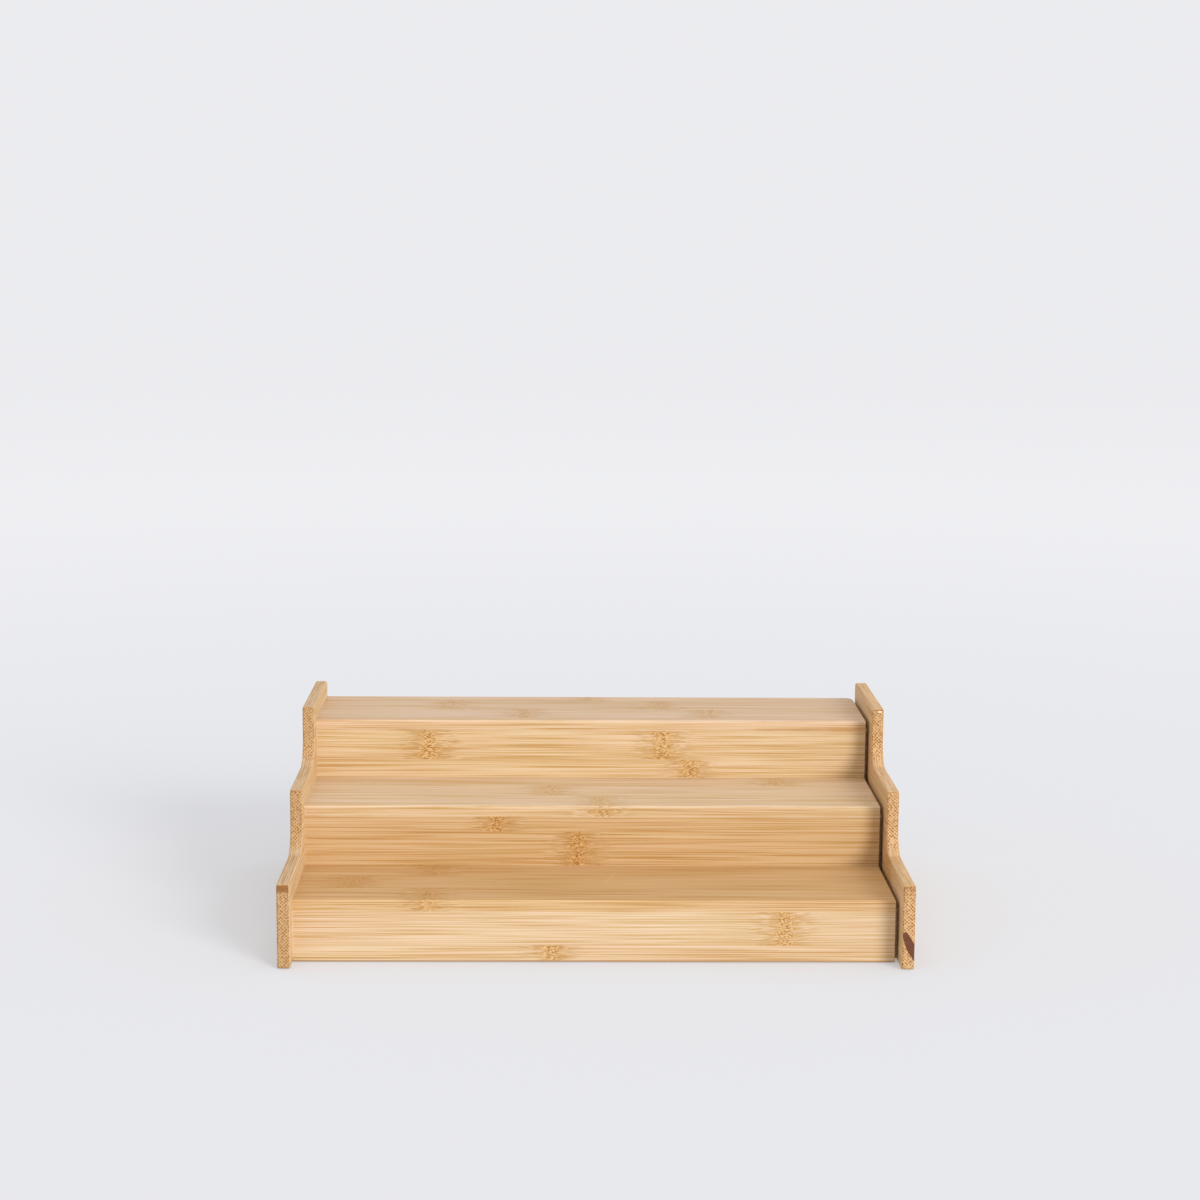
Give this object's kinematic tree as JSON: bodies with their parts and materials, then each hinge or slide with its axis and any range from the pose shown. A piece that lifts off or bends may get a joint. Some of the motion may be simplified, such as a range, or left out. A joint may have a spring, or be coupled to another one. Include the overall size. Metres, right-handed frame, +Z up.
{
  "type": "stepped paint rack",
  "caption": "Low stepped bamboo shelf in nested halves that slide apart sideways to widen it, with stair-shaped end panels, for standing paint bottles in rising rows.",
  "frame": {"origin": "centre of the closed shelf's footprint, on the surface that it stands on", "axes": "+X to the right along the steps, +Y from the low front step to the high back step, +Z up"},
  "size_m": [0.325, 0.2144, 0.1085],
  "materials": {
    "panel_bamboo": "satin clear lacquer",
    "board_bamboo": "satin clear lacquer",
    "peg_wood": "plain, unfinished"
  },
  "bodies": {
    "outer_half": {"left_end_panel": "panel_bamboo", "outer_lower_tread": "board_bamboo", "outer_lower_riser": "board_bamboo", "outer_middle_tread": "board_bamboo", "outer_middle_riser": "board_bamboo", "outer_upper_tread": "board_bamboo", "outer_upper_riser": "board_bamboo", "left_panel_pegs": "peg_wood"},
    "inner_half": {"right_end_panel": "panel_bamboo", "inner_lower_tread": "board_bamboo", "inner_lower_riser": "board_bamboo", "inner_middle_tread": "board_bamboo", "inner_middle_riser": "board_bamboo", "inner_upper_tread": "board_bamboo", "inner_upper_riser": "board_bamboo", "right_panel_pegs": "peg_wood"}
  },
  "joints": [
    {"name": "width_slide", "type": "slide", "parent": "outer_half", "child": "inner_half", "axis": [1, 0, 0], "range_m": [-0.0015, 0.25]}
  ]
}
